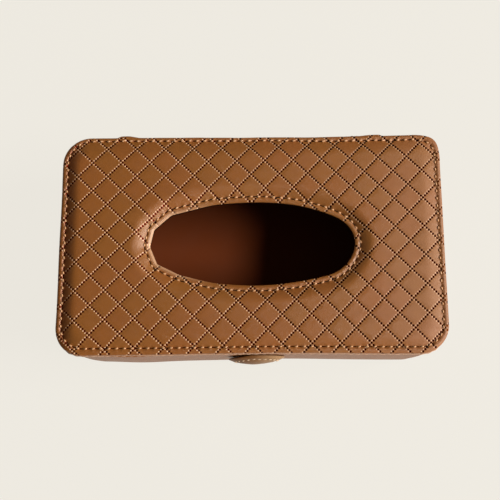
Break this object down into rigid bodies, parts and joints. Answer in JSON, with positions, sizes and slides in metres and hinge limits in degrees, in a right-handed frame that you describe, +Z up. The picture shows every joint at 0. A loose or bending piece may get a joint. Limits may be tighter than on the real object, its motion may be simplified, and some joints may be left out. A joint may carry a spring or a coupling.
{
  "type": "car tissue holder",
  "caption": "Sewn leather box for tissues with a quilted padded top, an oval dispensing opening, rear elastic straps, and a hinged base held shut by a magnetic tongue.",
  "frame": {"origin": "middle of the underside of the closed base", "axes": "+Z up, +X along the width, and -Y out of the front wall, which carries the closure tongue"},
  "size_m": [0.24, 0.1442, 0.07],
  "materials": {
    "leather": "satin, fine grain",
    "lining": "matte, short nap",
    "board": "matte, pressed",
    "foam": "matte, open cell",
    "elastic": "matte, woven",
    "magnet": "plated"
  },
  "bodies": {
    "holder": {"top_cover": "leather", "top_foam": "foam", "top_board": "board", "top_lining": "lining", "front_wall_cover": "leather", "rear_wall_cover": "leather", "left_end_cover": "leather", "right_end_cover": "leather", "front_board": "board", "rear_board": "board", "left_end_board": "board", "right_end_board": "board", "front_lining": "lining", "rear_lining": "lining", "left_end_lining": "lining", "right_end_lining": "lining", "wall_magnet": "magnet", "left_strap": "elastic", "right_strap": "elastic"},
    "base_flap": {"base_cover": "leather", "base_board": "board", "base_lining": "lining"},
    "closure_tongue": {"tongue_leather": "leather", "magnet_patch": "lining", "tongue_magnet": "magnet"}
  },
  "joints": [
    {"name": "base_flap_hinge", "type": "hinge", "parent": "holder", "child": "base_flap", "pos_m": [0, 0.069, 0.0006], "axis": [1, 0, 0], "range_deg": [0, 120]},
    {"name": "tongue_hinge", "type": "hinge", "parent": "base_flap", "child": "closure_tongue", "pos_m": [0.0033, -0.0698, 0.0006], "axis": [1, 0, 0], "range_deg": [0, 135]}
  ]
}
